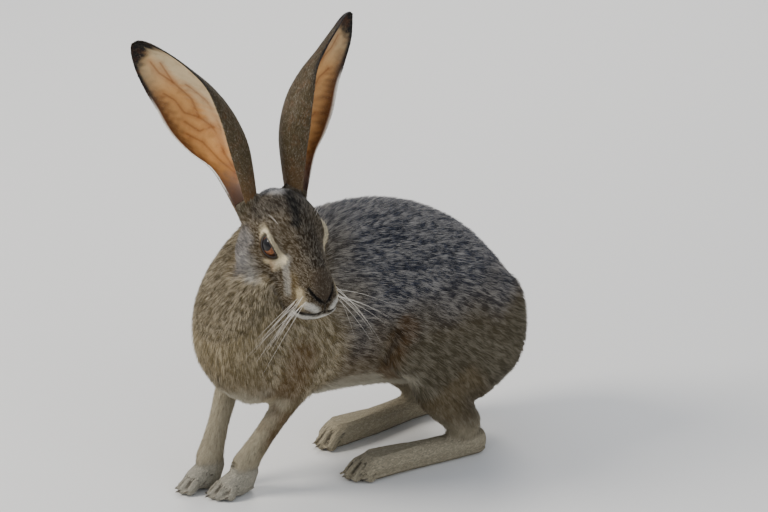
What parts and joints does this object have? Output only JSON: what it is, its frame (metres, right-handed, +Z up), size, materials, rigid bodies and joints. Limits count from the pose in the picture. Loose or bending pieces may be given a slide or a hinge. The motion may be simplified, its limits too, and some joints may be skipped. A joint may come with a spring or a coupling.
{
  "type": "life-size black-tailed jackrabbit model",
  "caption": "Still, life-size model of a brown hare-like jackrabbit crouched on all four feet, head turned to its left, long cupped ears raised and forelegs set forward.",
  "frame": {"origin": "middle of the footprint's box, on the ground the feet stand on", "axes": "+Z up, the trunk runs along Y with the chest towards -Y and the rump towards +Y, the animal's left side is +X"},
  "size_m": [0.1552, 0.2906, 0.3302],
  "materials": {
    "saddle": "grizzled short coat, dark and pale hair in dashes",
    "flank": "warm grey-buff coat",
    "limb": "short cream and tan coat",
    "ear_skin": "thin bare skin with fine hair, dark at the tip",
    "dark_tail": "black coat",
    "eye_amber": "clear, wet gloss"
  },
  "bodies": {
    "root": {"head": "saddle", "torso": "saddle", "neck": "flank", "thigh_left": "flank", "thigh_right": "flank", "upper_arm_left": "flank", "upper_arm_right": "flank", "shank_left": "limb", "shank_right": "limb", "hind_foot_left": "limb", "hind_foot_right": "limb", "forearm_left": "limb", "forearm_right": "limb", "fore_paw_left": "limb", "fore_paw_right": "limb", "ear_left": "ear_skin", "ear_right": "ear_skin", "tail": "dark_tail", "eye_left": "eye_amber", "eye_right": "eye_amber"}
  },
  "joints": []
}
